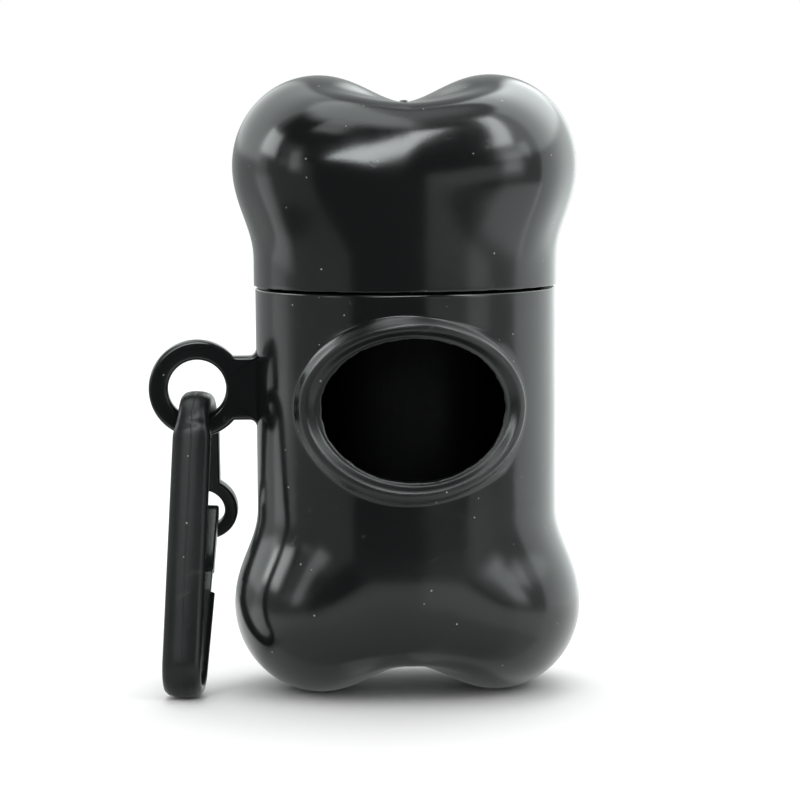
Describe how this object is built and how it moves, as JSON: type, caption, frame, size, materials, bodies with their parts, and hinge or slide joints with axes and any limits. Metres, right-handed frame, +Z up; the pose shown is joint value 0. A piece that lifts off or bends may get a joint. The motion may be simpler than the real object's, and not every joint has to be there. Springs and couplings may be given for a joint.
{
  "type": "waste bag dispenser",
  "caption": "Bone-shaped hollow dispenser in two screwed halves, with an oval mouth in front, a side ear with a hanging spring clip, and a roll of bags on a tube inside.",
  "frame": {"origin": "on the bone's axis, at the surface that the two lower lobes stand on", "axes": "+Z up along the bone, the mouth looks towards -Y, the ear and the clip are towards -X"},
  "size_m": [0.0597, 0.0429, 0.085],
  "materials": {
    "shell_plastic": "glossy black, with fine rub marks and a little dust",
    "clip_plastic": "black, a little less glossy than the bone",
    "bag_film": "thin black film, wound tight, soft sheen",
    "core_board": "plain brown board"
  },
  "bodies": {
    "shell": {"lower_shell": "shell_plastic"},
    "cap": {"cap_shell": "shell_plastic"},
    "clip": {"clip_frame": "clip_plastic"},
    "gate": {"clip_gate": "clip_plastic"},
    "roll": {"bag_roll": "bag_film", "roll_core": "core_board"}
  },
  "joints": [
    {"name": "cap_lift", "type": "slide", "parent": "shell", "child": "cap", "axis": [0, 0, 1], "range_m": [0, 0.032]},
    {"name": "clip_swing", "type": "hinge", "parent": "shell", "child": "clip", "pos_m": [-0.02895, 0, 0.03665], "axis": [0.9908, -0.1305, -0.0346], "range_deg": [-84, 84]},
    {"name": "gate_flex", "type": "hinge", "parent": "clip", "child": "gate", "pos_m": [-0.02938, 0.00272, 0.01414], "axis": [0.9908, -0.1305, -0.0346], "range_deg": [0, 34], "stiffness_Nm_per_rad": 0.01, "springref_deg": -5.73},
    {"name": "roll_spin", "type": "hinge", "parent": "shell", "child": "roll", "pos_m": [0, 0, 0.0356], "axis": [0, 0, 1], "continuous": true}
  ]
}
